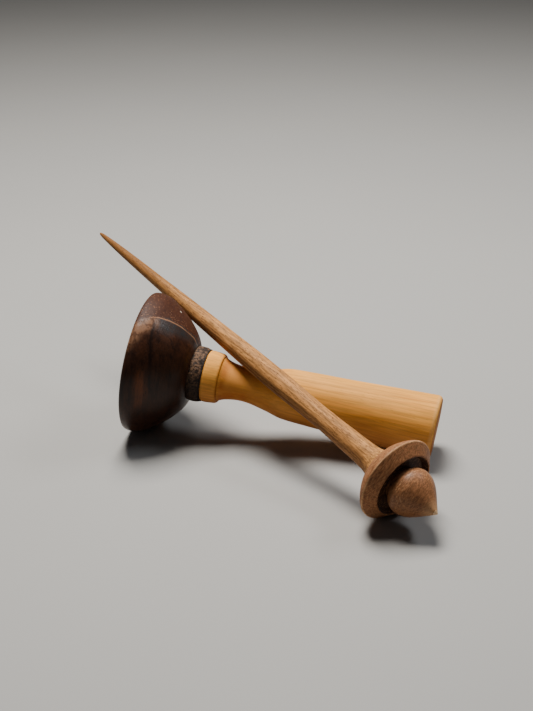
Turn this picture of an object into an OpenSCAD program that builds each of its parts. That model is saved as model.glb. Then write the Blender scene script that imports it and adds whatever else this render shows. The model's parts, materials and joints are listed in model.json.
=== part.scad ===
// Supported spindle leaning on its handled spinning bowl, both turned in wood.
// Millimetres. +Z is up, the set lies on the plane Z = 0, +Y points away from the front.
// Every piece is turned, so each is one outline of [distance along its axis, radius] spun round.

/* [Bowl] */
// Largest radius of the bowl, just behind its lip
bowl_radius = 37.2; // [28:0.1:45]
// Height of the bowl from its mouth to its foot
bowl_height = 29.2; // [22:0.1:40]
// Radius of the foot, where the collar sits
bowl_foot_radius = 15.4; // [12:0.1:20]
// Radius of the dish at the mouth
dish_radius = 32.6; // [22:0.1:38]
// Depth of the dish
dish_depth = 18.4; // [10:0.1:24]
// Radius of the small seat for the spindle's point
seat_radius = 2.4; // [1:0.1:4]
// Depth of that seat below the dish
seat_depth = 0.7; // [0.2:0.1:1.5]

/* [Collar] */
// Thickness of the dark collar along the axis
collar_thickness = 6.8; // [3:0.1:12]
// Radius of the collar at its fullest
collar_radius = 14.8; // [12:0.1:20]

/* [Handle] */
// Length of the handle from the collar to the butt
handle_length = 123.2; // [80:0.1:160]
// Radius of the bead next to the collar
bead_radius = 13.7; // [10:0.1:18]
// Width of the bead
bead_width = 8.4; // [4:0.1:14]
// Depth of the groove behind the bead
groove_depth = 2.3; // [1:0.1:4]
// Radius of the neck at its slimmest
neck_radius = 9; // [7:0.1:12]
// Radius of the grip at its front end
grip_radius = 13.1; // [10:0.1:17]
// Radius of the grip at the butt
butt_radius = 16.8; // [12:0.1:20]
// Rounding of the butt's edge
butt_rounding = 2.6; // [0.5:0.1:5]
// Radius of the tenon that holds collar and bowl
handle_tenon_radius = 6; // [4:0.1:8]
// Depth of the tenon inside the bowl
handle_tenon_depth = 5.6; // [3:0.1:8]

/* [Shaft] */
// Length of the shaft from its fine end to its foot on the whorl
shaft_length = 241; // [180:1:280]
// Radius of the shaft's fine end
shaft_end_radius = 0.4; // [0.2:0.1:1.5]
// Radius at the belly, the thickest stretch of the taper
shaft_belly_radius = 5.84; // [4:0.01:8]
// Radius of the flared foot
shaft_foot_radius = 8.9; // [6:0.1:12]
// Radius of the tenon through the whorl
shaft_tenon_radius = 4; // [2.5:0.1:6]
// Length of the tenon inside the finial
shaft_tenon_depth = 5.6; // [3:0.1:9]

/* [Whorl] */
// Radius of the whorl at its rim
whorl_radius = 21.8; // [16:0.1:30]
// Height of the domed back, from hub to rim
whorl_back = 11; // [4:0.1:14]
// Height of the bevelled front, from rim to step
whorl_front = 4.9; // [2:0.1:10]
// Radius of the edge where the bevel ends
step_radius = 16.7; // [12:0.1:20]
// Depth of the hollow between that edge and the finial
step_depth = 2.8; // [1:0.1:4]

/* [Finial] */
// Length of the finial without its point
finial_length = 24.3; // [18:0.1:32]
// Length of the finial's short shank, sunk in the whorl's hollow
finial_shank = 1.8; // [0.5:0.1:3]
// Largest radius of the finial
finial_radius = 12.2; // [9:0.1:15]
// Radius where the finial meets the whorl
finial_base_radius = 9.2; // [7:0.1:12]
// Radius of the finial's nose, where the point comes out
finial_nose_radius = 1.6; // [1.2:0.05:2.5]

/* [Point] */
// Length of the point outside the finial
point_length = 1.5; // [1:0.1:4]
// Radius of the point's shoulder
point_radius = 1.5; // [1:0.05:2.4]
// Radius of the very tip
point_tip_radius = 0.15; // [0.1:0.05:0.5]
// Radius of the point's pin inside the finial
pin_radius = 0.9; // [0.6:0.05:1.4]
// Length of that pin
pin_length = 5; // [3:0.1:8]
// Radial clearance of the pin in its hole
pin_clearance = 0.05; // [0.01:0.01:0.1]
// Gap between the point's shoulder and the finial
shoulder_gap = 0.1; // [0.05:0.05:0.4]

/* [Pose] */
// Direction of the bowl's axis, turned clockwise from +X seen from above
bowl_heading = 13.71; // [0:0.01:90]
// Direction of the spindle's axis, turned clockwise from +X seen from above
spindle_heading = 50.44; // [20:0.01:90]
// Slope of the spindle, point down
spindle_slope = 12.7; // [5:0.01:30]
// Centre of the bowl's mouth in plan
bowl_at = [-63.79, 14.84];
// From there to the centre of the whorl's rim in plan
whorl_from_bowl = [127.21, -99.16];

/* [Build] */
// Straight pieces between two stations of an outline
outline_steps = 6; // [2:1:10]
// Glue gap round a tenon
glue_gap = 0.05; // [0:0.01:0.1]

/* [Hidden] */

$fn = 128;

// Distances along the handle's axis, from the mouth of the bowl
collar_at = bowl_height;
handle_at = collar_at + collar_thickness;
butt_at = handle_at + handle_length;
mortise_at = bowl_height - handle_tenon_depth - 2 * glue_gap;
// Distances along the spindle's axis, from the fine end
rim_at = shaft_length + whorl_back;
step_at = rim_at + whorl_front;
finial_at = step_at - step_depth;
bulb_at = finial_at + finial_shank;
bulb_length = finial_length - finial_shank;
nose_at = finial_at + finial_length;
shoulder_at = nose_at + shoulder_gap;
point_at = shoulder_at + point_length;

// Tangent at station i, for a stretch of the given span
function tangent(p, i, span) =
    let(before = p[max(i - 1, 0)], after = p[min(i + 1, len(p) - 1)])
    (after - before) / (norm(after - p[i]) + norm(p[i] - before)) * span;
// Point a share t of the way from station i to the next
function between(p, i, t) =
    let(a = p[i], b = p[i + 1], span = norm(b - a), m = tangent(p, i, span), n = tangent(p, i + 1, span))
    (2 * t^3 - 3 * t^2 + 1) * a + (t^3 - 2 * t^2 + t) * m + (3 * t^2 - 2 * t^3) * b + (t^3 - t^2) * n;
// Smooth line through every station
function smoothed(p) =
    [for (i = [0:len(p) - 2]) for (k = [0:outline_steps - 1]) between(p, i, k / outline_steps), p[len(p) - 1]];
// Quarter round from a face into the side of radius r, ending at distance d
function rounded(d, r, round) =
    [for (k = [0:outline_steps]) let(a = 90 * k / outline_steps) [d - round + round * sin(a), r - round + round * cos(a)]];
// Turn [distance, radius] into [radius, distance]
function turned(p) = [for (q = p) [q[1], q[0]]];
// Height of an axis that lets its outline rest on the ground, at distance zero
function resting_height(p, slope) = max([for (q = p) q[1] * cos(slope) + q[0] * sin(slope)]);

// The lip rolls over, the side swells, then draws in to the foot
side_outline = [[0, 0.957], [0.02, 0.987], [0.075, 1], [0.17, 0.995], [0.31, 0.965], [0.445, 0.898],
    [0.572, 0.824], [0.692, 0.745], [0.808, 0.65], [0.925, 0.532]];
bowl_outside = smoothed(concat(
    [for (q = side_outline) [q[0] * bowl_height, q[1] * bowl_radius]],
    [[bowl_height, bowl_foot_radius]]));
dish_outline = [[0, 1], [0.06, 0.977], [0.22, 0.93], [0.5, 0.81], [0.76, 0.61], [0.92, 0.36], [0.985, 0.15]];
bowl_inside = smoothed(concat(
    [[0, dish_radius + 0.6]],
    [for (k = [1:len(dish_outline) - 1]) [dish_outline[k][0] * dish_depth, dish_outline[k][1] * dish_radius]],
    [[dish_depth, seat_radius]]));
collar_outside = smoothed([
    [collar_at, 0.972 * collar_radius],
    [collar_at + 0.27 * collar_thickness, collar_radius],
    [collar_at + 0.63 * collar_thickness, 0.987 * collar_radius],
    [handle_at, 0.94 * collar_radius]]);
bead_outside = smoothed([
    [handle_at, 0.942 * bead_radius],
    [handle_at + 0.06 * bead_width, 0.985 * bead_radius],
    [handle_at + 0.24 * bead_width, bead_radius],
    [handle_at + 0.9 * bead_width, 0.957 * bead_radius],
    [handle_at + bead_width, 0.92 * bead_radius]]);
groove_at = handle_at + bead_width + 0.15;
neck_at = groove_at + 0.15;
neck_outside = smoothed([
    [neck_at, 1.32 * neck_radius],
    [neck_at + 1.2, 1.23 * neck_radius],
    [neck_at + 3.8, 1.125 * neck_radius],
    [neck_at + 7.4, 1.045 * neck_radius],
    [neck_at + 11.4, neck_radius],
    [neck_at + 16.4, 1.03 * neck_radius],
    [neck_at + 22.4, 1.155 * neck_radius],
    [neck_at + 27.4, 0.876 * grip_radius],
    [neck_at + 34.4, 1.008 * grip_radius],
    [neck_at + 47.9, 1.07 * grip_radius],
    [neck_at + 68.4, 0.88 * butt_radius],
    [neck_at + 91.4, 0.946 * butt_radius],
    [neck_at + 105.4, 0.983 * butt_radius],
    [butt_at - butt_rounding, butt_radius]]);
handle_outside = concat(bead_outside, [[groove_at, bead_radius - groove_depth]], neck_outside, rounded(butt_at, butt_radius, butt_rounding));
shaft_outline = [[0.0042, 0.14], [0.021, 0.225], [0.095, 0.394], [0.24, 0.582], [0.444, 0.829],
    [0.647, 1], [0.813, 0.925], [0.913, 1.022], [0.956, 1.1], [0.98, 1.215]];
shaft_outside = smoothed(concat(
    [[0, shaft_end_radius]],
    [for (q = shaft_outline) [q[0] * shaft_length, q[1] * shaft_belly_radius]],
    [[shaft_length, shaft_foot_radius]]));
back_outline = [[0.15, 0.545], [0.36, 0.725], [0.59, 0.86], [0.82, 0.967], [0.945, 1]];
whorl_outside = concat(
    smoothed(concat(
        [[shaft_length, shaft_foot_radius]],
        [for (q = back_outline) [shaft_length + q[0] * whorl_back, q[1] * whorl_radius]])),
    [[rim_at, whorl_radius]]);
finial_outside = smoothed([
    [finial_at, 0.92 * finial_base_radius],
    [bulb_at, finial_base_radius],
    [bulb_at + 0.102 * bulb_length, 0.918 * finial_radius],
    [bulb_at + 0.191 * bulb_length, 0.984 * finial_radius],
    [bulb_at + 0.28 * bulb_length, finial_radius],
    [bulb_at + 0.387 * bulb_length, 0.967 * finial_radius],
    [bulb_at + 0.507 * bulb_length, 0.869 * finial_radius],
    [bulb_at + 0.627 * bulb_length, 0.721 * finial_radius],
    [bulb_at + 0.76 * bulb_length, 0.516 * finial_radius],
    [bulb_at + 0.871 * bulb_length, 0.336 * finial_radius],
    [bulb_at + 0.969 * bulb_length, 0.18 * finial_radius],
    [nose_at, finial_nose_radius]]);

bowl_slope = atan((bowl_radius - butt_radius) / (butt_at - butt_rounding - 0.075 * bowl_height));
bowl_rest = resting_height(concat(bowl_outside, handle_outside), bowl_slope);
whorl_rest = resting_height([for (q = whorl_outside) [q[0] - rim_at, q[1]]], spindle_slope);

// Lay a piece turned about Z along the handle's axis
module bowl_pose() {
    translate([bowl_at[0], bowl_at[1], bowl_rest])
        rotate([0, 90 + bowl_slope, -bowl_heading])
            children();
}

// Lay a piece turned about Z along the spindle's axis
module spindle_pose() {
    translate([bowl_at[0] + whorl_from_bowl[0], bowl_at[1] + whorl_from_bowl[1], whorl_rest])
        rotate([0, 90 + spindle_slope, -spindle_heading])
            translate([0, 0, -rim_at])
                children();
}

// One outline spun round its axis
module spun(outline) {
    rotate_extrude()
        polygon(turned(outline));
}

// Bowl with its dish, the seat in the middle and the mortise in the foot
module bowl() {
    mortise_radius = handle_tenon_radius + glue_gap;
    color([0.20, 0.12, 0.08])
        bowl_pose()
            spun(concat(
                [[dish_depth + seat_depth, 0], [dish_depth + seat_depth, 0.4 * seat_radius]],
                [for (k = [len(bowl_inside) - 1:-1:0]) bowl_inside[k]],
                bowl_outside,
                [[bowl_height, mortise_radius], [mortise_at, mortise_radius], [mortise_at, 0]]));
}

// Dark ring between the bowl's foot and the handle
module collar() {
    color([0.13, 0.10, 0.08])
        bowl_pose()
            spun(concat(
                [[collar_at, handle_tenon_radius + glue_gap]],
                collar_outside,
                [[handle_at, handle_tenon_radius + glue_gap]]));
}

// Handle with bead, groove, neck and grip, and the tenon at its front
module handle() {
    color([0.78, 0.56, 0.32])
        bowl_pose()
            spun(concat(
                [[mortise_at + glue_gap, 0], [mortise_at + glue_gap, handle_tenon_radius], [handle_at, handle_tenon_radius]],
                handle_outside,
                [[butt_at, 0]]));
}

// Long tapered shaft with a flared foot and a tenon
module shaft() {
    tenon_end = finial_at + shaft_tenon_depth;
    color([0.62, 0.47, 0.35])
        spindle_pose()
            spun(concat(
                [[0, 0]],
                shaft_outside,
                [[shaft_length, shaft_tenon_radius], [tenon_end, shaft_tenon_radius], [tenon_end, 0]]));
}

// Whorl with a domed back, a thin rim, a bevelled front and a hollow step
module whorl() {
    bore_radius = shaft_tenon_radius + glue_gap;
    color([0.45, 0.31, 0.22])
        spindle_pose()
            spun(concat(
                [[shaft_length, bore_radius]],
                whorl_outside,
                [[step_at, step_radius], [step_at, step_radius - 0.5],
                 [finial_at, step_radius - 2.2], [finial_at, bore_radius]]));
}

// Onion-shaped finial, bored for the shaft's tenon and for the point
module finial() {
    socket_radius = shaft_tenon_radius + glue_gap;
    socket_end = finial_at + shaft_tenon_depth + 2 * glue_gap;
    hole_radius = pin_radius + pin_clearance;
    hole_end = shoulder_at - pin_length - shoulder_gap;
    color([0.43, 0.29, 0.21])
        spindle_pose()
            spun(concat(
                [[socket_end, 0], [socket_end, socket_radius], [finial_at, socket_radius]],
                finial_outside,
                [[nose_at, hole_radius], [hole_end, hole_radius], [hole_end, 0]]));
}

// Small pale point that the spindle turns on
module point() {
    pin_start = shoulder_at - pin_length;
    color([0.75, 0.68, 0.58])
        spindle_pose()
            spun([
                [pin_start, 0], [pin_start, pin_radius], [shoulder_at, pin_radius], [shoulder_at, point_radius],
                [shoulder_at + 0.55 * point_length, 0.52 * point_radius], [point_at, point_tip_radius], [point_at, 0]]);
}

bowl();
collar();
handle();
shaft();
whorl();
finial();
point();
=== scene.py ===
import json
import math

import bpy
import numpy as np
from mathutils import Matrix, Vector


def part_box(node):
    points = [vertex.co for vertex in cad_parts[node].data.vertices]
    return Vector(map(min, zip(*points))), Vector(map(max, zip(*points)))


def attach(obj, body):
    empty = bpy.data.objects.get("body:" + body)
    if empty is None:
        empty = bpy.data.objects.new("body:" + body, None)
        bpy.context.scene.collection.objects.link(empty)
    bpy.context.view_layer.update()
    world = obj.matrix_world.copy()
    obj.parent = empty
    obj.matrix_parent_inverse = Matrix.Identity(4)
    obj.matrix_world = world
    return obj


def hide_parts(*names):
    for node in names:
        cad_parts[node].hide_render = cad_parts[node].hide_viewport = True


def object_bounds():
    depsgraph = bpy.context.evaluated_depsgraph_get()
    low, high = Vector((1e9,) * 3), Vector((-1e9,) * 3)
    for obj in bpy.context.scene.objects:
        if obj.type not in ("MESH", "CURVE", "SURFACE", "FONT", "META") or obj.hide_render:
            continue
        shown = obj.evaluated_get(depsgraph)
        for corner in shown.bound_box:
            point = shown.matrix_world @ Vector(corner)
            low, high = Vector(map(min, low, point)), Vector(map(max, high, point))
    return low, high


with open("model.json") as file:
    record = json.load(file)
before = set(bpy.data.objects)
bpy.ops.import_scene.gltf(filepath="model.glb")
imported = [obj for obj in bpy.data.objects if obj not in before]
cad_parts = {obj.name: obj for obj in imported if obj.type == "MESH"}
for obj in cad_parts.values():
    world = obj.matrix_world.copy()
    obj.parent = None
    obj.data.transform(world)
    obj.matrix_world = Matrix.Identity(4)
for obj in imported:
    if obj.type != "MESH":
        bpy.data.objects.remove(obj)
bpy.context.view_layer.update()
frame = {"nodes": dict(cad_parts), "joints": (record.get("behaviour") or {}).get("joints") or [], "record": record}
record = frame["record"]
print("frame loaded:", ", ".join(sorted(frame["nodes"])))

mm = 0.001


# Outlines, [distance along the axis, radius] in millimetres

def tangent(stations, i, span):
    before = stations[max(i - 1, 0)]
    after = stations[min(i + 1, len(stations) - 1)]
    here = stations[i]
    return (after - before) / (np.linalg.norm(after - here) + np.linalg.norm(here - before)) * span


def smoothed(stations, steps=10):
    # a smooth line through every station
    stations = np.array(stations, float)
    line = []
    for i in range(len(stations) - 1):
        a, b = stations[i], stations[i + 1]
        span = np.linalg.norm(b - a)
        leave, arrive = tangent(stations, i, span), tangent(stations, i + 1, span)
        for k in range(steps):
            t = k / steps
            line.append((2 * t**3 - 3 * t**2 + 1) * a + (t**3 - 2 * t**2 + t) * leave
                        + (3 * t**2 - 2 * t**3) * b + (t**3 - t**2) * arrive)
    line.append(stations[-1])
    return [list(p) for p in line]


def arc(centre, radius, start, end, steps=8):
    # part of a circle in the outline's own plane, angles from the axis towards the radius
    turns = [math.radians(start + (end - start) * k / steps) for k in range(steps + 1)]
    return [[centre[0] + radius * math.cos(a), centre[1] + radius * math.sin(a)] for a in turns]


def shape(stations, length, radius, start=0.0):
    # stations given as shares of a length and a radius
    return [[start + length * a, radius * r] for a, r in stations]


# Noise for real relief

tableSize = 32


def lumps(points, size, seed):
    # smooth noise from -1 to 1, in lumps of about the given size
    table = np.random.default_rng(seed).uniform(-1, 1, (tableSize,) * 3)
    cell = points / size
    low = np.floor(cell).astype(int)
    t = cell - low
    t = t * t * (3 - 2 * t)
    total = np.zeros(len(points))
    for dx in (0, 1):
        for dy in (0, 1):
            for dz in (0, 1):
                weight = 1.0
                for k, d in enumerate((dx, dy, dz)):
                    weight = weight * (t[:, k] if d else 1 - t[:, k])
                at = (low + (dx, dy, dz)) % tableSize
                total += weight * table[at[:, 0], at[:, 1], at[:, 2]]
    return total


def ridges(distance, spacing, seed):
    # uneven tool marks along the outline
    rng = np.random.default_rng(seed)
    total = np.zeros(len(distance))
    for k in range(3):
        pitch = spacing * rng.uniform(0.75, 1.35)
        total += np.sin(2 * math.pi * distance / pitch + rng.uniform(0, 6)) / 3
    return total


def turnedRelief(look, points, walked):
    # tool marks and slight lumps, a little below the outline
    marks = ridges(walked, look["toolPitch"], look["meshSeed"]) * look["toolMarks"]
    stretched = points * (1, 1, look["lumpStretch"])
    uneven = lumps(stretched, look["lumpSize"], look["meshSeed"] + 1) * look["lumpDepth"]
    return marks + uneven - look["below"]


# Axes of the two turned parts

def axisFrame(origin, along):
    # local Z runs along the axis, local X is the side that faces up, local Y the side that faces the front
    along = Vector(along).normalized()
    up = Vector((0, 0, 1))
    up = (up - along * up.dot(along)).normalized()
    made = Matrix((up, along.cross(up), along)).transposed().to_4x4()
    made.translation = Vector(origin)
    return made


mounts = {m["name"]: m for m in record["mounts"]}
spin = [j for j in frame["joints"] if j["name"] == "spindle_spin"][0]

handleLine = {"buttAt": 159.2}   # from the bowl's mouth to the end of the handle
spindleLine = {"shoulderAt": 278.5}   # from the shaft's fine end to the shoulder of the point

butt = mounts["handle_butt"]
handleAxis = Vector(butt["axis"]).normalized()
handleFrame = axisFrame(Vector(butt["pos_m"]) - handleAxis * handleLine["buttAt"] * mm, handleAxis)
spindleAxis = Vector(spin["axis"]).normalized()
if spindleAxis.z > 0:
    spindleAxis = -spindleAxis
spindleFrame = axisFrame(Vector(spin["pos_m"]) - spindleAxis * spindleLine["shoulderAt"] * mm, spindleAxis)


# Shader nodes

def tone(red, green, blue):
    # screen colour, 0 to 255, as the shader's linear colour
    def linear(c):
        c /= 255
        return c / 12.92 if c <= 0.04045 else ((c + 0.055) / 1.055) ** 2.4
    return linear(red), linear(green), linear(blue), 1.0


class Signal:
    # one socket's value, so that shader maths reads as sums
    def __init__(self, finish, socket):
        self.finish = finish
        self.socket = socket

    def __add__(self, other):
        return self.finish.maths("ADD", self, other)

    def __radd__(self, other):
        return self.finish.maths("ADD", other, self)

    def __sub__(self, other):
        return self.finish.maths("SUBTRACT", self, other)

    def __rsub__(self, other):
        return self.finish.maths("SUBTRACT", other, self)

    def __mul__(self, other):
        return self.finish.maths("MULTIPLY", self, other)

    def __rmul__(self, other):
        return self.finish.maths("MULTIPLY", other, self)

    def __truediv__(self, other):
        return self.finish.maths("DIVIDE", self, other)

    def __rtruediv__(self, other):
        return self.finish.maths("DIVIDE", other, self)


class Finish:
    # one material and the ways to put nodes in it
    def __init__(self, name):
        self.material = bpy.data.materials.new(name)
        self.material.use_nodes = True
        self.tree = self.material.node_tree
        self.tree.nodes.clear()

    def node(self, kind, settings=None, sockets=None, output=0):
        made = self.tree.nodes.new("ShaderNode" + kind)
        for name, value in (settings or {}).items():
            setattr(made, name, value)
        for key, value in (sockets or {}).items():
            if isinstance(value, Signal):
                self.tree.links.new(value.socket, made.inputs[key])
            else:
                made.inputs[key].default_value = value
        return Signal(self, made.outputs[output]) if len(made.outputs) else None

    def maths(self, operation, *values):
        return self.node("Math", {"operation": operation}, dict(enumerate(values)))

    def vector(self, operation, *values, output=0):
        return self.node("VectorMath", {"operation": operation}, dict(enumerate(values)), output)

    def mix(self, factor, first, second, way="MIX"):
        settings = {"data_type": "RGBA", "blend_type": way}
        return self.node("Mix", settings, {0: factor, 6: first, 7: second}, 2)

    def parts(self, vector):
        return [Signal(self, s) for s in self.node("SeparateXYZ", None, {0: vector}).socket.node.outputs]

    def step(self, value, low, high, start=0.0, end=1.0):
        sockets = {0: value, 1: low, 2: high, 3: start, 4: end}
        return self.node("MapRange", {"interpolation_type": "SMOOTHSTEP"}, sockets)

    def bell(self, value, centre, width):
        # 1 at the centre, falling smoothly to 0 at the width
        return self.step(self.maths("ABSOLUTE", value - centre), 0.0, width, 1.0, 0.0)

    def moved(self, point, scale, shift):
        # a texture's own space: another shift gives another pattern
        return self.vector("MULTIPLY_ADD", point, scale, (shift, shift * 0.7, shift * 1.3))

    def noise(self, point, scale, detail=2.0, rough=0.5, shift=0.0, output=0):
        place = self.moved(point, scale, shift)
        sockets = {"Vector": place, "Scale": 1.0, "Detail": detail, "Roughness": rough}
        return self.node("TexNoise", None, sockets, output)

    def dots(self, point, scale, small, large, shift=0.0):
        # scattered spots, 1 inside each
        place = self.moved(point, scale, shift)
        away = self.node("TexVoronoi", None, {"Vector": place, "Scale": 1.0, "Randomness": 1.0})
        return self.step(away, small, large, 1.0, 0.0)

    def place(self, turned):
        # where a point is on its lathe, in millimetres
        sockets = {"Vector": self.node("TexCoord", None, None, 3), "Location": turned.translation,
                   "Rotation": turned.to_euler(), "Scale": (mm, mm, mm)}
        return self.node("Mapping", {"vector_type": "TEXTURE"}, sockets)

    def close(self, colour, roughness, height, depth, gloss=0.5):
        normal = self.node("Bump", None, {"Strength": 1.0, "Distance": depth * mm, "Height": height})
        shader = self.node("BsdfPrincipled", None, {
            "Base Color": colour, "Roughness": roughness, "Normal": normal,
            "IOR": 1.5, "Specular IOR Level": gloss})
        self.node("OutputMaterial", None, {"Surface": shader})
        return self.material


def grain(finish, look, turned):
    # rings, fibres and pores of one piece of wood, as signals
    point = finish.place(turned)
    x, y, z = finish.parts(point)
    fibre = point
    if "across" in look:   # fibres square to the axis, not along it, turned this far from the upper side
        turn = math.radians(look["across"])
        sine, cosine = math.sin(turn), math.cos(turn)
        fibre = finish.node("CombineXYZ", None, {0: x * -sine + y * cosine, 1: z, 2: x * cosine + y * sine})
    bend = finish.noise(fibre, look["bend"], 2.0, 0.5, look["seed"], 1)
    sway = finish.vector("MULTIPLY_ADD", bend, (look["sway"],) * 3, (-look["sway"] / 2,) * 3)
    across = finish.vector("ADD", fibre, sway)
    flat = finish.vector("MULTIPLY", finish.vector("SUBTRACT", across, (*look["pith"], 0.0)), (1.0, 1.0, 0.0))
    away = finish.vector("LENGTH", flat, output=1)
    uneven = finish.noise(fibre, (0.05, 0.05, 0.004), 1.0, 0.5, look["seed"] + 7)
    turns = away / look["ringGap"] + uneven * look["ringUneven"]
    saw = finish.maths("FRACT", turns)
    late = finish.step(saw, 0.25, 0.93) * finish.step(saw, 0.95, 1.0, 1.0, 0.0)
    fine = finish.noise(fibre, look["fine"], 3.0, 0.6, look["seed"] + 3)
    streak = finish.noise(fibre, look["streak"], 3.0, 0.55, look["seed"] + 11)
    cloud = finish.noise(fibre, look["cloud"], 2.0, 0.5, look["seed"] + 19)
    pores = finish.dots(fibre, look["pore"], look["poreSize"] * 0.6, look["poreSize"], look["seed"] + 5)
    gate = finish.step(finish.noise(fibre, look["poreGate"], 2.0, 0.5, look["seed"] + 13) - late * 0.12,
                       look["poreOften"] - 0.05, look["poreOften"] + 0.08)
    return {"point": point, "x": x, "y": y, "z": z, "fibre": fibre, "late": late, "fine": fine,
            "streak": streak, "cloud": cloud, "pores": pores * gate}


def paintWood(finish, look, g):
    # the plain wood colour from its grain
    colour = finish.mix(g["late"] * look["ringShow"], look["early"], look["lateTone"])
    streaks = finish.step(g["streak"], *look["streakRange"]) * look["streakShow"]
    colour = finish.mix(streaks, colour, look["streakTone"])
    colour = finish.mix(finish.step(g["cloud"], 0.35, 0.7) * look["cloudShow"], colour, look["cloudTone"])
    shade = finish.step(g["fine"], 0.3, 0.72, 1.0 - look["fineShow"], 1.0 + look["fineShow"])
    shade = finish.node("CombineColor", None, {0: shade, 1: shade, 2: shade})
    return finish.mix(1.0, colour, shade, "MULTIPLY")


def closeWood(finish, look, g, colour, duller=0.0):
    colour = finish.mix(g["pores"] * look["poreShow"], colour, look["poreTone"])
    rough = g["fine"] * 0.16 + g["pores"] * 0.2 + (look["rough"] - 0.08) + duller
    height = g["fine"] * 0.35 + g["late"] * 0.25 - g["pores"] * 0.8
    return finish.close(colour, rough, height, look["relief"], look["gloss"])


# Turned meshes

touching = 1e-5   # closer than this, in millimetres, two points of an outline are one


def resampled(points, step):
    # straight pieces no longer than the step, every given point kept
    made = [points[0]]
    for a, b in zip(points[:-1], points[1:]):
        span = math.dist(a, b)
        if span < touching:
            continue
        count = max(1, math.ceil(span / step))
        for k in range(1, count + 1):
            made.append([a[0] + (b[0] - a[0]) * k / count, a[1] + (b[1] - a[1]) * k / count])
    return made


def turnedPiece(name, runs, around, relief, place, material, sharp=35):
    # spins runs of outline round local Z; a run is (points, longest step, share of relief)
    line, share = [], []
    for points, step, amount in runs:
        made = resampled(points, step)
        if line and math.dist(line[-1], made[0]) < touching:
            made = made[1:]
        line += made
        share += [amount] * len(made)
    closedLoop = line[0][1] > touching
    line, share = np.array(line), np.array(share, float)
    if closedLoop and np.linalg.norm(line[0] - line[-1]) < touching:
        line, share = line[:-1], share[:-1]
    blur = 5   # relief fades in and out over this many rings
    padded = np.pad(share, blur // 2, mode="wrap" if closedLoop else "edge")
    share = np.convolve(padded, np.ones(blur) / blur, "valid") * (share > 0)
    ahead = np.roll(line, -1, 0) - line
    behind = line - np.roll(line, 1, 0)
    if not closedLoop:
        ahead[-1], behind[0] = behind[-1], ahead[0]
    along = ahead / np.linalg.norm(ahead, axis=1)[:, None] + behind / np.linalg.norm(behind, axis=1)[:, None]
    along /= np.linalg.norm(along, axis=1)[:, None]
    walked = np.concatenate([[0], np.cumsum(np.linalg.norm(np.diff(line, axis=0), axis=1))])
    angles = np.arange(around) * 2 * math.pi / around

    rings = len(line)
    z = np.repeat(line[:, 0], around)
    r = np.repeat(line[:, 1], around)
    a = np.tile(angles, rings)
    flat = np.stack([r * np.cos(a), r * np.sin(a), z], 1)
    lift = relief(flat, a, np.repeat(walked, around)) * np.repeat(share, around)
    z = z - lift * np.repeat(along[:, 1], around)
    r = np.maximum(r + lift * np.repeat(along[:, 0], around), 0.0)
    points = np.stack([r * np.cos(a), r * np.sin(a), z], 1) * mm

    ends = []
    if not closedLoop:   # the first and last rings shrink to a point on the axis
        points = points[around:-around]
        rings -= 2
        ends = [(0, 0, line[0][0] * mm), (0, 0, line[-1][0] * mm)]
    start = len(points)

    def corner(i, j):
        return (i % rings) * around + j % around

    faces = []
    for i in range(rings if closedLoop else rings - 1):
        for j in range(around):
            faces.append((corner(i, j), corner(i, j + 1), corner(i + 1, j + 1), corner(i + 1, j)))
    if ends:
        faces += [(start, corner(0, j + 1), corner(0, j)) for j in range(around)]
        faces += [(start + 1, corner(rings - 1, j), corner(rings - 1, j + 1)) for j in range(around)]

    mesh = bpy.data.meshes.new(name)
    mesh.from_pydata(list(map(tuple, points)) + ends, [], faces)
    mesh.transform(place)
    mesh.validate()
    mesh.shade_smooth()
    mesh.set_sharp_from_angle(angle=math.radians(sharp))
    piece = bpy.data.objects.new(name, mesh)
    bpy.context.scene.collection.objects.link(piece)
    mesh.materials.append(material)
    print(name, "turned,", len(mesh.polygons), "faces")
    return piece


def settle(piece, body, node):
    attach(piece, body)
    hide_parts(node)
    low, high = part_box(node)
    corners = [v.co for v in piece.data.vertices]
    worst = max(abs(pick(c[k] for c in corners) - side[k])
                for pick, side in ((min, low), (max, high)) for k in range(3))
    print(f"  {piece.name} is within {worst / mm:.2f} mm of its CAD box")


# Bowl

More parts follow.
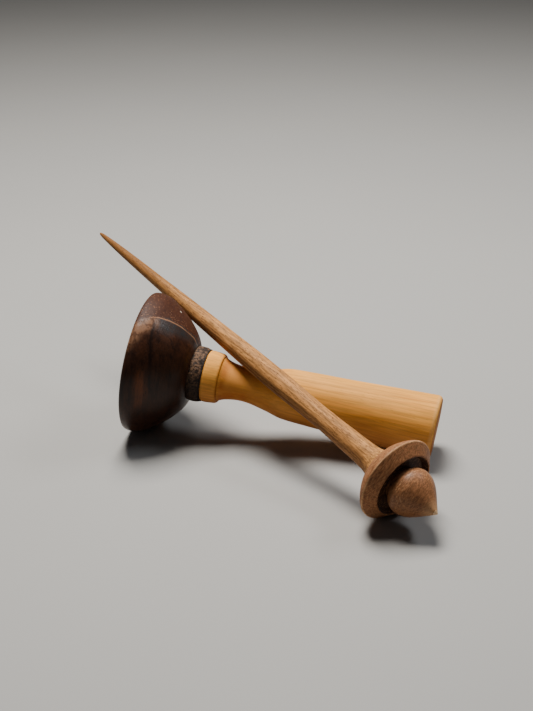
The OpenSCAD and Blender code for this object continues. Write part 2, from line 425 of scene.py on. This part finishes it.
# In every piece's values lengths are in millimetres, texture scales are per millimetre, and a Show is a share
bowlLook = {
    "height": 29.2, "radius": 37.2, "foot": 15.4,
    "dishRadius": 32.6, "dishDepth": 18.4, "seatRadius": 2.4, "seatDepth": 0.7,
    "mortiseRadius": 6.05, "mortiseAt": 23.5,
    "side": [[0, 0.957], [0.02, 0.987], [0.075, 1], [0.17, 0.995], [0.31, 0.965], [0.445, 0.898],
             [0.572, 0.824], [0.692, 0.745], [0.808, 0.65], [0.925, 0.532]],
    "dish": [[0.06, 0.977], [0.22, 0.93], [0.5, 0.81], [0.76, 0.61], [0.92, 0.36], [0.985, 0.15]],
    "lip": 0.6, "around": 200, "outOfRound": 0.1, "fadeOver": 3.0, "meshSeed": 3,
    "toolPitch": 1.3, "toolMarks": 0.012,
    "lumpSize": 9.0, "lumpStretch": 1, "lumpDepth": 0.05, "below": 0,
    "across": 0.0, "seed": 2.0, "pith": (-90.0, -68.0), "ringGap": 3.1, "ringUneven": 2.0,
    "bend": (0.05, 0.05, 0.022), "sway": 5.0,
    "fine": (1.3, 1.3, 0.12), "streak": (0.42, 0.42, 0.02), "cloud": (0.06, 0.06, 0.035),
    "pore": (1.15, 1.15, 0.22), "poreSize": 0.26, "poreGate": (0.18, 0.18, 0.06), "poreOften": 0.45,
    "early": tone(84, 49, 29), "lateTone": tone(58, 34, 22), "ringShow": 0.4,
    "streakTone": tone(30, 19, 15), "streakRange": (0.44, 0.66), "streakShow": 0.75,
    "cloudTone": tone(90, 50, 29), "cloudShow": 0.4, "fineShow": 0.28,
    "poreTone": tone(22, 13, 11), "poreShow": 0.65, "rough": 0.32, "relief": 0.05, "gloss": 0.21,
    "lineAt": 16.3, "lineWidth": 0.52, "lineTone": tone(160, 112, 78),
    "frontRange": (16.2, 18.0), "frontShow": 0.36, "lowShadeRange": (18.0, 30.0), "lowShadeShow": 0.55,
    "capTone": tone(56, 25, 11), "capShow": 0.68, "capDuller": 0.26, "speckShow": 0.5,
    "pastRange": (9.0, 13.5),
    "sheenBandStart": (17.4, 18.6), "sheenBandEnd": (21.5, 26.0), "sheenBandTone": tone(44, 43, 43),
    "patchStart": (16.4, 17.4), "patchEnd": (23.5, 28.5), "patchShow": 0.8, "patchTone": tone(134, 97, 72),
    "creaseAt": 15.6, "creaseWidth": 1.5, "creaseShow": 0.85, "lowTone": tone(24, 15, 12),
    "warmAt": (2.0, 10.5), "warmWidth": (15.0, 4.6), "warmTone": tone(124, 66, 26),
    "fleckAt": (29.7, -6.7, 16.9), "fleckTone": tone(214, 198, 180),
}


def bowlFinish():
    look = bowlLook
    finish = Finish("walnutBowl")
    g = grain(finish, look, handleFrame)
    colour = paintWood(finish, look, g)
    x, y, z = g["x"], g["y"], g["z"]
    wobble = finish.noise(g["point"], (0.09, 0.09, 0.09), 3.0, 0.55, 31.0) - 0.5
    depth = y * 0.8 + z * 0.6 + wobble * 1.6   # across the growth rings, towards the front

    # dark wood in front of the pale line, redder and specked wood behind it
    front = finish.step(depth, *look["frontRange"])
    cap = 1.0 - front
    colour = finish.mix(front * look["frontShow"], colour, look["streakTone"])
    colour = finish.mix(cap * look["capShow"], colour, look["capTone"])
    specks = finish.dots(g["point"], (0.9, 0.9, 0.6), 0.12, 0.34, 23.0) * finish.step(g["cloud"], 0.38, 0.6)
    colour = finish.mix(specks * cap * look["speckShow"], colour, look["lineTone"])
    # darker towards the lower front: dark wood there, deepened as painted shade of the lower side
    low = finish.step(depth + wobble * 10.0, *look["lowShadeRange"])
    colour = finish.mix(low * look["lowShadeShow"], colour, look["lowTone"])

    # a grey band below the line, which is a painted reflection, and a pale smudged patch nearer the mouth that
    # ends along a slant
    past = finish.step(z + wobble * 6.0 - (depth - 18.0) * 0.35, *look["pastRange"])
    below = depth + wobble * 5.0 + z * 0.12
    sheenBand = finish.step(below, *look["sheenBandStart"]) * finish.step(below, *look["sheenBandEnd"], 1.0, 0.0)
    sheenBand = sheenBand * past * finish.step(x, -34.0, -6.0)
    colour = finish.mix(sheenBand * finish.step(g["streak"], 0.3, 0.7, 1.0, 0.5), colour, look["sheenBandTone"])
    fall = depth + z * 0.42 + wobble * 5.0
    patch = finish.step(depth, *look["patchStart"]) * finish.step(fall, *look["patchEnd"], 1.0, 0.0)
    patch = patch * (1.0 - past) * finish.step(x, 6.0, 20.0)
    smudge = finish.bell(finish.noise(g["point"], (0.16, 0.16, 0.22), 3.0, 0.55, 77.0), 0.52, 0.09)
    colour = finish.mix(patch * (look["patchShow"] - smudge * 0.55), colour, look["patchTone"])

    # the line itself, a dark crease, an orange glow and one pale fleck
    broken = finish.step(wobble + (g["fine"] - 0.5) * 0.2, -0.14, 0.08, 0.25, 0.85)
    line = finish.bell(depth, look["lineAt"], look["lineWidth"]) * broken
    colour = finish.mix(line, colour, look["lineTone"])
    crease = finish.bell(z + x * 0.17 + wobble * 5.0, look["creaseAt"], look["creaseWidth"])
    crease = crease * finish.step(x, -8.0, 6.0) * finish.step(y, 12.0, 20.0)
    colour = finish.mix(crease * look["creaseShow"], colour, look["lowTone"])
    warmX = finish.bell(x + wobble * 8.0, look["warmAt"][0], look["warmWidth"][0])
    warmZ = finish.bell(z + wobble * 6.0, look["warmAt"][1], look["warmWidth"][1])
    warm = warmZ * warmX * finish.step(y, 12.0, 24.0)
    colour = finish.mix(warm * finish.step(g["streak"], 0.3, 0.6, 0.95, 0.35), colour, look["warmTone"])
    apart = finish.vector("MULTIPLY", finish.vector("SUBTRACT", g["point"], look["fleckAt"]), (0.9, 1.5, 1.2))
    fleck = finish.step(finish.vector("LENGTH", apart, output=1), 0.4, 0.9, 1.0, 0.0)
    colour = finish.mix(fleck, colour, look["fleckTone"])
    return closeWood(finish, look, g, colour, finish.step(depth, 14.0, 18.0, look["capDuller"], 0.0))


def makeBowl():
    look = bowlLook
    height, radius = look["height"], look["radius"]
    dishDepth, seat, mortise = look["dishDepth"], look["seatRadius"], look["mortiseRadius"]
    side = smoothed(shape(look["side"], height, radius) + [[height, look["foot"]]])
    dish = smoothed([[0, look["dishRadius"] + look["lip"]]]
                    + shape(look["dish"], dishDepth, look["dishRadius"]) + [[dishDepth, seat]])
    seatBottom = dishDepth + look["seatDepth"]
    runs = [([[seatBottom, 0], [seatBottom, 0.4 * seat], [dishDepth, seat]], 0.4, 0.3),
            (dish[::-1], 0.6, 1.0),
            (side, 0.45, 1.0),
            ([[height, look["foot"]], [height, mortise]], 1.0, 0.0),
            ([[height, mortise], [look["mortiseAt"], mortise], [look["mortiseAt"], 0]], 2.0, 0.0)]

    def relief(points, angle, walked):
        fade = np.clip((height - points[:, 2]) / look["fadeOver"], 0, 1)
        oval = (np.cos(2 * angle) - 1) * look["outOfRound"] / 2
        return (turnedRelief(look, points, walked) + oval) * fade

    piece = turnedPiece("bowlWalnut", runs, look["around"], relief, handleFrame, bowlFinish())
    settle(piece, "handled_bowl", "bowl")


makeBowl()


# Collar

collarLook = {
    "start": bowlLook["height"], "thickness": 6.8, "radius": 14.8, "bore": 6.05, "around": 240,
    "bark": 0.34, "barkMargin": 0.7, "meshSeed": 11,
    "side": [[0, 0.972], [0.27, 1], [0.63, 0.987], [1, 0.94]],
    "crackTone": tone(38, 26, 19), "scaleTone": tone(116, 86, 63),
    "rough": 0.62, "relief": 0.25, "gloss": 0.25,
    "edgeTone": tone(24, 15, 12), "edgeShow": 0.8, "collarShadeTone": tone(34, 22, 17), "collarShadeShow": 0.8,
}


def collarFinish():
    look = collarLook
    finish = Finish("roughCollar")
    point = finish.place(handleFrame)
    x, y, z = finish.parts(point)
    coarse = finish.noise(point, (0.3, 0.3, 0.3), 4.0, 0.62, 3.0)
    fine = finish.noise(point, (2.4, 2.4, 2.4), 3.0, 0.6, 9.0)
    bend = finish.noise(point, (0.5, 0.5, 0.5), 3.0, 0.6, 17.0, 1)
    bent = finish.vector("MULTIPLY_ADD", bend, (2.4, 2.4, 2.4), point)
    scales = finish.dots(bent, (0.75, 0.75, 0.5), 0.35, 0.85, 4.0)
    pale = scales * finish.step(coarse, 0.38, 0.54) * finish.step(fine, 0.25, 0.55)
    colour = finish.mix(pale, look["crackTone"], look["scaleTone"])

    # the ring is darker away from its upper side, as painted shade, and darker along its edge at the handle
    collarShade = finish.step(x - y * 0.35 + coarse * 9.0, -3.0, 6.5, look["collarShadeShow"], 0.0)
    colour = finish.mix(collarShade, colour, look["collarShadeTone"])
    end = look["start"] + look["thickness"]
    colour = finish.mix(finish.step(z, end - 1.1, end - 0.5) * look["edgeShow"], colour, look["edgeTone"])
    rough = fine * 0.2 + look["rough"]
    return finish.close(colour, rough, scales * 0.6 + fine * 0.4, look["relief"], look["gloss"])


def makeCollar():
    look = collarLook
    start, end = look["start"], look["start"] + look["thickness"]
    side = smoothed(shape(look["side"], look["thickness"], look["radius"], start))
    runs = [([[start, look["bore"]], side[0]], 1.0, 0.0),
            (side, 0.22, 1.0),
            ([side[-1], [end, look["bore"]]], 1.0, 0.0),
            ([[end, look["bore"]], [start, look["bore"]]], 3.0, 0.0)]

    def relief(points, angle, walked):
        seed, margin = look["meshSeed"], look["barkMargin"]
        z = points[:, 2]
        inner = np.clip((z - start) / margin, 0, 1) * np.clip((end - z) / margin, 0, 1)
        lump = lumps(points, 2.6, seed) * 0.55 + lumps(points, 1.2, seed + 1) * 0.45
        pits = -np.clip(lumps(points, 1.5, seed + 2) - 0.25, 0, 1) * 1.2
        return (lump * 0.5 + pits - 0.35) * look["bark"] * (0.35 + 0.65 * inner)

    piece = turnedPiece("collarRing", runs, look["around"], relief, handleFrame, collarFinish(), 50)
    settle(piece, "handled_bowl", "collar")


makeCollar()


# Handle

handleLook = {
    "start": 36.0, "butt": handleLine["buttAt"], "beadRadius": 13.7, "beadWidth": 8.4, "groove": 2.3,
    "neckRadius": 9.0, "gripRadius": 13.1, "buttRadius": 16.8, "buttRounding": 2.6,
    "grooveHalf": 0.15, "tenonRadius": 6.0, "tenonStart": 23.55, "around": 128, "meshSeed": 21,
    "toolPitch": 1.7, "toolMarks": 0.01,
    "lumpSize": 7.0, "lumpStretch": 0.25, "lumpDepth": 0.05, "below": 0.04,
    "bead": [[0, 0.942], [0.06, 0.985], [0.24, 1], [0.9, 0.957], [1, 0.92]],
    "neck": [[0, 1.32], [1.2, 1.23], [3.8, 1.125], [7.4, 1.045], [11.4, 1], [16.4, 1.03], [22.4, 1.155]],
    "grip": [[27.4, 0.876], [34.4, 1.008], [47.9, 1.07]],
    "back": [[68.4, 0.88], [91.4, 0.946], [105.4, 0.983]],
    "seed": 14.0, "pith": (9.0, -62.0), "ringGap": 2.7, "ringUneven": 2.4,
    "bend": (0.05, 0.05, 0.012), "sway": 2.2,
    "fine": (1.0, 1.0, 0.018), "streak": (0.6, 0.6, 0.01), "cloud": (0.07, 0.07, 0.03),
    "pore": (1.7, 1.7, 0.22), "poreSize": 0.2, "poreGate": (0.25, 0.25, 0.03), "poreOften": 0.5,
    "early": tone(228, 160, 74), "lateTone": tone(210, 134, 54), "ringShow": 0.35,
    "streakTone": tone(192, 112, 48), "streakRange": (0.5, 0.72), "streakShow": 0.28,
    "cloudTone": tone(234, 172, 98), "cloudShow": 0.3, "fineShow": 0.17,
    "poreTone": tone(136, 80, 34), "poreShow": 0.4, "rough": 0.62, "relief": 0.02, "gloss": 0.05,
    "blotTone": tone(184, 102, 46), "neckHighlightTone": tone(232, 160, 80), "underShadeTone": tone(150, 76, 46),
    "underShadeShow": 0.7, "grooveTone": tone(150, 80, 28), "grooveShow": 0.45,
    "rimHighlightTone": tone(240, 186, 116), "rimHighlightShow": 0.4, "endGrainAndShadeTone": tone(136, 74, 32), "endGrainAndShadeShow": 0.75,
}


def handleFinish():
    look = handleLook
    finish = Finish("honeyHandle")
    g = grain(finish, look, handleFrame)
    colour = paintWood(finish, look, g)
    x, y, z = g["x"], g["y"], g["z"]

    # the neck is blotched, with a painted highlight along its upper front side
    neck = finish.step(z, 44.2, 46.5) * finish.step(z, 58.0, 86.0, 1.0, 0.0)
    blot = finish.noise(g["point"], (0.16, 0.16, 0.1), 3.0, 0.6, 5.0)
    colour = finish.mix(neck * finish.step(blot, 0.3, 0.65, 0.25, 0.8), colour, look["blotTone"])
    neckHighlight = finish.bell(x * 0.8 + y * 0.6 + (g["cloud"] - 0.5) * 6.0, 8.0, 5.0)
    neckHighlight = neckHighlight * finish.step(z, 46.0, 50.0) * finish.step(z, 60.0, 84.0, 1.0, 0.0)
    colour = finish.mix(neckHighlight * finish.step(blot, 0.35, 0.6, 0.2, 0.7), colour, look["neckHighlightTone"])

    # a redder under side, darker as painted shade, a dark groove, a pale rim and a darker end
    under = finish.step(x * 0.8 - y * 0.6 + (g["cloud"] - 0.5) * 8.0, -17.0, -2.0, look["underShadeShow"], 0.0)
    colour = finish.mix(under, colour, look["underShadeTone"])
    groove = finish.bell(z, look["start"] + look["beadWidth"] + 0.2, 0.8)
    colour = finish.mix(groove * look["grooveShow"], colour, look["grooveTone"])
    # the pale rim is a painted highlight on the rounded edge of the end
    rim = finish.bell(z, look["butt"] - 1.6, 1.6)
    colour = finish.mix(rim * look["rimHighlightShow"], colour, look["rimHighlightTone"])
    # the darker end face is end grain, deepened as painted shade
    end = finish.step(z, look["butt"] - 0.6, look["butt"] - 0.1)
    colour = finish.mix(end * look["endGrainAndShadeShow"], colour, look["endGrainAndShadeTone"])
    return closeWood(finish, look, g, colour)


def makeHandle():
    look = handleLook
    start, butt, rounding = look["start"], look["butt"], look["buttRounding"]
    bead = smoothed(shape(look["bead"], look["beadWidth"], look["beadRadius"], start))
    grooveAt = start + look["beadWidth"] + look["grooveHalf"]
    neckAt = grooveAt + look["grooveHalf"]
    neck = smoothed(shape(look["neck"], 1, look["neckRadius"], neckAt)
                    + shape(look["grip"], 1, look["gripRadius"], neckAt)
                    + shape(look["back"], 1, look["buttRadius"], neckAt)
                    + [[butt - rounding, look["buttRadius"]]])
    edge = arc((butt - rounding, look["buttRadius"] - rounding), rounding, 90, 0)
    tenon, tenonStart = look["tenonRadius"], look["tenonStart"]
    runs = [([[tenonStart, 0], [tenonStart, tenon], [start, tenon]], 2.5, 0.0),
            ([[start, tenon], bead[0]], 1.5, 0.0),
            (bead, 0.4, 0.6),
            ([bead[-1], [grooveAt, look["beadRadius"] - look["groove"]], neck[0]], 0.4, 0.0),
            (neck, 0.5, 1.0),
            (edge, 0.3, 1.0),
            ([edge[-1], [butt, 0]], 0.8, 0.6)]

    def relief(points, angle, walked):
        return turnedRelief(look, points, walked)

    piece = turnedPiece("handleGrip", runs, look["around"], relief, handleFrame, handleFinish())
    settle(piece, "handled_bowl", "handle")


makeHandle()


# Shaft

shaftLook = {
    "length": 241.0, "endRadius": 0.4, "belly": 5.84, "foot": 8.9, "tenonRadius": 4.0, "tenonEnd": 259.7,
    "around": 96, "smoothBelow": 5.0, "meshSeed": 31,
    "toolPitch": 2.1, "toolMarks": 0.008,
    "lumpSize": 4.0, "lumpStretch": 0.2, "lumpDepth": 0.05, "below": 0.04,
    "line": [[0.0042, 0.14], [0.021, 0.225], [0.095, 0.394], [0.24, 0.582], [0.444, 0.829],
             [0.647, 1], [0.813, 0.925], [0.913, 1.022], [0.956, 1.1], [0.98, 1.215]],
    "seed": 41.0, "pith": (-14.0, -30.0), "ringGap": 1.7, "ringUneven": 1.0,
    "bend": (0.05, 0.05, 0.006), "sway": 0.8,
    "fine": (1.4, 1.4, 0.13), "streak": (0.9, 0.9, 0.035), "cloud": (0.1, 0.1, 0.014),
    "pore": (1.6, 1.6, 0.32), "poreSize": 0.29, "poreGate": (0.3, 0.3, 0.04), "poreOften": 0.3,
    "early": tone(182, 130, 76), "lateTone": tone(148, 100, 58), "ringShow": 0.4,
    "streakTone": tone(112, 73, 44), "streakRange": (0.46, 0.68), "streakShow": 0.42,
    "cloudTone": tone(172, 116, 66), "cloudShow": 0.4, "fineShow": 0.42,
    "poreTone": tone(72, 42, 28), "poreShow": 0.75, "rough": 0.58, "relief": 0.05, "gloss": 0.1,
    "goldenTone": tone(114, 74, 35), "goldenShow": 0.82, "goldenRange": (10.0, 130.0),
}


def shaftFinish():
    look = shaftLook
    finish = Finish("spindleShaftWood")
    g = grain(finish, look, spindleFrame)
    colour = paintWood(finish, look, g)
    x, y, z = g["x"], g["y"], g["z"]

    # golden towards the fine end, dark streaks under the thick part
    golden = finish.step(z, *look["goldenRange"], look["goldenShow"], 0.0)
    colour = finish.mix(golden, colour, look["goldenTone"])
    under = finish.step(x * 0.85 - y * 0.5 + (g["cloud"] - 0.5) * 5.0, -1.8, 0.5, 1.0, 0.0)
    thick = finish.step(z, 85.0, 125.0) * finish.step(z, 185.0, 235.0, 1.0, 0.25)
    streaks = finish.step(g["streak"], 0.38, 0.6, 0.3, 0.85)
    colour = finish.mix(under * thick * streaks, colour, look["streakTone"])
    return closeWood(finish, look, g, colour)


def makeShaft():
    look = shaftLook
    length, fine, foot = look["length"], look["endRadius"], look["foot"]
    line = smoothed([[0, fine]] + shape(look["line"], length, look["belly"]) + [[length, foot]], 12)
    tenon, tenonEnd = look["tenonRadius"], look["tenonEnd"]
    runs = [([[0, 0], [0, fine]], 0.2, 0.0),
            (line, 0.6, 1.0),
            ([[length, foot], [length, tenon], [tenonEnd, tenon], [tenonEnd, 0]], 2.5, 0.0)]

    def relief(points, angle, walked):
        thick = np.clip(np.hypot(points[:, 0], points[:, 1]) / look["smoothBelow"], 0, 1)
        return turnedRelief(look, points, walked) * thick

    piece = turnedPiece("shaftTaper", runs, look["around"], relief, spindleFrame, shaftFinish())
    settle(piece, "spindle", "shaft")


makeShaft()


# Whorl

whorlLook = {
    "start": shaftLook["length"], "hub": 8.9, "back": 11.0, "front": 4.9, "radius": 21.8, "step": 16.7,
    "hollow": 2.8, "hollowLip": 0.5, "hollowTaper": 2.2, "hollowInner": 9.4, "bore": 4.05, "around": 160,
    "meshSeed": 41, "toolPitch": 0.95, "toolMarks": 0.02,
    "lumpSize": 5.0, "lumpStretch": 1, "lumpDepth": 0.04, "below": 0.03,
    "line": [[0.15, 0.545], [0.36, 0.725], [0.59, 0.86], [0.82, 0.967], [0.945, 1]],
    "across": -45.0, "seed": 57.0, "pith": (-30.0, 210.0), "ringGap": 1.9, "ringUneven": 2.0,
    "bend": (0.08, 0.08, 0.03), "sway": 1.6,
    "fine": (1.5, 1.5, 0.3), "streak": (0.6, 0.6, 0.06), "cloud": (0.08, 0.08, 0.06),
    "pore": (1.9, 1.9, 0.5), "poreSize": 0.27, "poreGate": (0.2, 0.2, 0.1), "poreOften": 0.4,
    "early": tone(146, 98, 64), "lateTone": tone(112, 73, 47), "ringShow": 0.25,
    "streakTone": tone(84, 53, 36), "streakRange": (0.48, 0.7), "streakShow": 0.4,
    "cloudTone": tone(158, 106, 70), "cloudShow": 0.35, "fineShow": 0.42,
    "poreTone": tone(62, 36, 24), "poreShow": 0.7, "rough": 0.56, "relief": 0.05, "gloss": 0.12,
    "recessShadeTone": tone(32, 19, 12), "recessShadeShow": 0.8, "wornTone": tone(218, 170, 124), "rimWearAndHighlightWidth": 0.6,
    "fleckTone": tone(196, 148, 104), "fleckBack": 0.45, "fleckFront": 0.25,
}


def whorlFinish():
    look = whorlLook
    finish = Finish("whorlWood")
    g = grain(finish, look, spindleFrame)
    colour = paintWood(finish, look, g)
    z = g["z"]
    out = finish.vector("LENGTH", finish.vector("MULTIPLY", g["point"], (1.0, 1.0, 0.0)), output=1)
    rimAt = look["start"] + look["back"]
    stepAt = rimAt + look["front"]

    # painted shade in the hollow, a pale rim that is worn and brightened as painted highlight, and flecks that are
    # strongest on the back
    hollow = finish.step(z, stepAt - 3.6, stepAt - 3.0)
    hollow = hollow * finish.step(out, look["step"] - 0.75, look["step"] - 0.5, 1.0, 0.0)
    colour = finish.mix(hollow * look["recessShadeShow"], colour, look["recessShadeTone"])
    rimWearAndHighlight = finish.bell(z, rimAt, look["rimWearAndHighlightWidth"]) * finish.step(g["streak"], 0.35, 0.6, 0.35, 0.9)
    colour = finish.mix(rimWearAndHighlight, colour, look["wornTone"])
    flecks = finish.dots(g["fibre"], (1.1, 1.1, 0.45), 0.2, 0.42, 29.0)
    flecks = flecks * finish.step(z, rimAt - 4.0, rimAt, look["fleckBack"], look["fleckFront"])
    colour = finish.mix(flecks, colour, look["fleckTone"])
    return closeWood(finish, look, g, colour)


def makeWhorl():
    look = whorlLook
    start, radius, step, bore = look["start"], look["radius"], look["step"], look["bore"]
    rimAt = start + look["back"]
    stepAt = rimAt + look["front"]
    inside = stepAt - look["hollow"]
    mouth, floor, inner = step - look["hollowLip"], step - look["hollowTaper"], look["hollowInner"]
    dome = smoothed([[start, look["hub"]]] + shape(look["line"], look["back"], radius, start))
    rim = [dome[-1], [rimAt - 0.12, radius], [rimAt + 0.1, radius - 0.1]]
    runs = [([[start, bore], [start, look["hub"]]], 1.0, 0.0),
            (dome, 0.4, 1.0),
            (rim, 0.3, 0.0),
            ([rim[-1], [stepAt - 0.06, step + 0.08], [stepAt, step - 0.1]], 0.35, 0.8),
            ([[stepAt, step - 0.1], [stepAt, mouth]], 0.2, 0.0),
            ([[stepAt, mouth], [inside, floor]], 0.3, 0.6),
            ([[inside, floor], [inside, inner]], 0.4, 0.6),
            ([[inside, inner], [inside, bore], [start, bore]], 2.5, 0.0)]

    def relief(points, angle, walked):
        return turnedRelief(look, points, walked)

    piece = turnedPiece("whorlDisc", runs, look["around"], relief, spindleFrame, whorlFinish(), 30)
    settle(piece, "spindle", "whorl")


makeWhorl()


# Finial

finialLook = {
    "start": 254.1, "shank": 1.8, "length": 22.5, "radius": 12.2, "base": 9.2, "nose": 1.6,
    "socket": 4.05, "socketEnd": 259.8, "hole": 0.95, "holeEnd": 273.4, "around": 144,
    "smoothBelow": 8.0, "meshSeed": 51, "toolPitch": 1.1, "toolMarks": 0.008,
    "lumpSize": 5.0, "lumpStretch": 1, "lumpDepth": 0.04, "below": 0.03,
    "line": [[0.102, 0.918], [0.191, 0.984], [0.28, 1], [0.387, 0.967], [0.507, 0.869], [0.627, 0.721],
             [0.76, 0.516], [0.871, 0.336], [0.969, 0.18]],
    "across": -45.0, "seed": 71.0, "pith": (34.0, 230.0), "ringGap": 2.0, "ringUneven": 2.0,
    "bend": (0.08, 0.08, 0.03), "sway": 1.8,
    "fine": (1.5, 1.5, 0.4), "streak": (0.6, 0.6, 0.1), "cloud": (0.1, 0.1, 0.06),
    "pore": (1.8, 1.8, 0.5), "poreSize": 0.27, "poreGate": (0.2, 0.2, 0.08), "poreOften": 0.42,
    "early": tone(140, 94, 61), "lateTone": tone(110, 72, 47), "ringShow": 0.2,
    "streakTone": tone(84, 52, 35), "streakRange": (0.5, 0.72), "streakShow": 0.35,
    "cloudTone": tone(150, 101, 66), "cloudShow": 0.35, "fineShow": 0.4,
    "poreTone": tone(62, 37, 25), "poreShow": 0.6, "rough": 0.44, "relief": 0.05, "gloss": 0.2,
    "fleckTone": tone(196, 150, 108), "fleckRange": (262.0, 272.0),
    "noseTone": tone(204, 160, 116), "noseShow": 0.55, "noseRange": (273.0, 278.2),
}


def finialFinish():
    look = finialLook
    finish = Finish("finialWood")
    g = grain(finish, look, spindleFrame)
    colour = paintWood(finish, look, g)
    flecks = finish.dots(g["fibre"], (1.1, 1.1, 0.5), 0.2, 0.42, 37.0)
    flecks = flecks * finish.step(g["z"], *look["fleckRange"], 0.6, 0.15)
    colour = finish.mix(flecks * finish.step(g["cloud"], 0.4, 0.6, 0.3, 1.0), colour, look["fleckTone"])
    nose = finish.step(g["z"], *look["noseRange"])   # paler towards the nose
    colour = finish.mix(nose * look["noseShow"], colour, look["noseTone"])
    return closeWood(finish, look, g, colour)


def makeFinial():
    look = finialLook
    start, socket, socketEnd = look["start"], look["socket"], look["socketEnd"]
    nose, hole, holeEnd = look["nose"], look["hole"], look["holeEnd"]
    bulb = start + look["shank"]
    noseAt = bulb + look["length"]
    line = smoothed([[start, 0.92 * look["base"]], [bulb, look["base"]]]
                    + shape(look["line"], look["length"], look["radius"], bulb) + [[noseAt, nose]])
    runs = [([[socketEnd, 0], [socketEnd, socket], [start, socket]], 2.5, 0.0),
            ([[start, socket], line[0]], 1.5, 0.0),
            (line, 0.3, 1.0),
            ([[noseAt, nose], [noseAt, hole]], 0.3, 0.0),
            ([[noseAt, hole], [holeEnd, hole], [holeEnd, 0]], 1.0, 0.0)]

    def relief(points, angle, walked):
        thick = np.clip(np.hypot(points[:, 0], points[:, 1]) / look["smoothBelow"], 0, 1)
        return turnedRelief(look, points, walked) * thick

    piece = turnedPiece("finialOnion", runs, look["around"], relief, spindleFrame, finialFinish())
    settle(piece, "spindle", "finial")


makeFinial()


# Point

pointLook = {
    "shoulder": spindleLine["shoulderAt"], "length": 1.5, "radius": 1.5, "tip": 0.15, "round": 0.12,
    "pin": 0.9, "pinLength": 5.0, "around": 48,
    "paleTone": tone(232, 196, 152), "wornTone": tone(204, 162, 118), "rough": 0.3, "relief": 0.01,
}


def pointFinish():
    look = pointLook
    finish = Finish("palePoint")
    fibre = finish.noise(finish.place(spindleFrame), (4.0, 4.0, 0.6), 3.0, 0.6, 2.0)
    colour = finish.mix(finish.step(fibre, 0.35, 0.7), look["paleTone"], look["wornTone"])
    return finish.close(colour, fibre * 0.15 + look["rough"], fibre, look["relief"])


def makePoint():
    look = pointLook
    at, end = look["shoulder"], look["shoulder"] + look["length"]
    pinStart, pin = at - look["pinLength"], look["pin"]
    radius, tip, rounding = look["radius"], look["tip"], look["round"]
    cone = smoothed([[at + rounding, radius], [at + 0.55 * look["length"], 0.52 * radius],
                     [end - rounding, tip + 0.06]], 8)
    runs = [([[pinStart, 0], [pinStart, pin], [at, pin]], 1.0, 0.0),
            ([[at, pin], [at, radius - 0.08], cone[0]], 0.2, 0.0),
            (cone, 0.1, 0.0),
            ([cone[-1], [end - 0.03, tip], [end, tip * 0.5], [end, 0]], 0.1, 0.0)]

    def relief(points, angle, walked):
        return np.zeros(len(points))   # too small to show any

    piece = turnedPiece("pointTip", runs, look["around"], relief, spindleFrame, pointFinish())
    settle(piece, "spindle_point", "point")


makePoint()


# Floor, light and camera

studio = {
    "cameraAt": (0.00254, -0.66048, 0.34685), "tilt": 24.41, "lens": 71.11,
    "floorSize": 8, "floorTone": tone(154, 153, 151), "cloudTone": tone(205, 203, 200), "cloudShow": 0.1,
    "world": tone(190, 194, 200), "worldStrength": 0.05,
    "lamps": [   # name, offset from the object's middle in metres, size, watts, colour
        ("key", (-0.08, 0.27, 0.9), (0.4, 0.5), 20.5, (1.0, 0.96, 0.9)),
        ("side", (0.6, 0.22, 0.7), (0.46, 0.16), 3.0, (0.92, 0.96, 1.0)),
        ("fill", (-0.5, -0.8, 0.7), (0.8, 0.8), 0.3, (0.95, 0.97, 1.0))],
}


def floorFinish():
    finish = Finish("paleFloor")
    soft = finish.noise(finish.place(Matrix()), (0.004,) * 3)
    colour = finish.mix(soft * studio["cloudShow"], studio["floorTone"], studio["cloudTone"])
    return finish.close(colour, 0.7, soft, 0.01)


def makeStudio():
    low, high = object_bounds()
    bpy.ops.mesh.primitive_plane_add(size=studio["floorSize"], location=(0, 0, 0))
    floor = bpy.context.object
    floor.name = "floor"
    floor.data.materials.append(floorFinish())

    world = bpy.data.worlds.new("studio")
    bpy.context.scene.world = world
    world.use_nodes = True
    sky = world.node_tree.nodes["Background"].inputs
    sky["Color"].default_value = studio["world"]
    sky["Strength"].default_value = studio["worldStrength"]

    middle = (low + high) / 2
    for name, offset, size, power, colour in studio["lamps"]:
        lamp = bpy.data.lights.new(name, "AREA")
        lamp.shape = "RECTANGLE"
        lamp.size, lamp.size_y = size
        lamp.energy = power
        lamp.color = colour
        lampObject = bpy.data.objects.new(name, lamp)
        bpy.context.scene.collection.objects.link(lampObject)
        lampObject.location = middle + Vector(offset)
        lampObject.rotation_euler = (-Vector(offset)).to_track_quat("-Z", "Y").to_euler()

    lens = bpy.data.cameras.new("camera")
    lens.sensor_width = 36
    lens.lens = studio["lens"]
    lens.clip_start = 0.01
    lens.clip_end = 50
    cameraObject = bpy.data.objects.new("camera", lens)
    bpy.context.scene.collection.objects.link(cameraObject)
    cameraObject.location = studio["cameraAt"]
    cameraObject.rotation_euler = (math.radians(90 - studio["tilt"]), 0, 0)
    bpy.context.scene.camera = cameraObject


makeStudio()
print("studio ready")
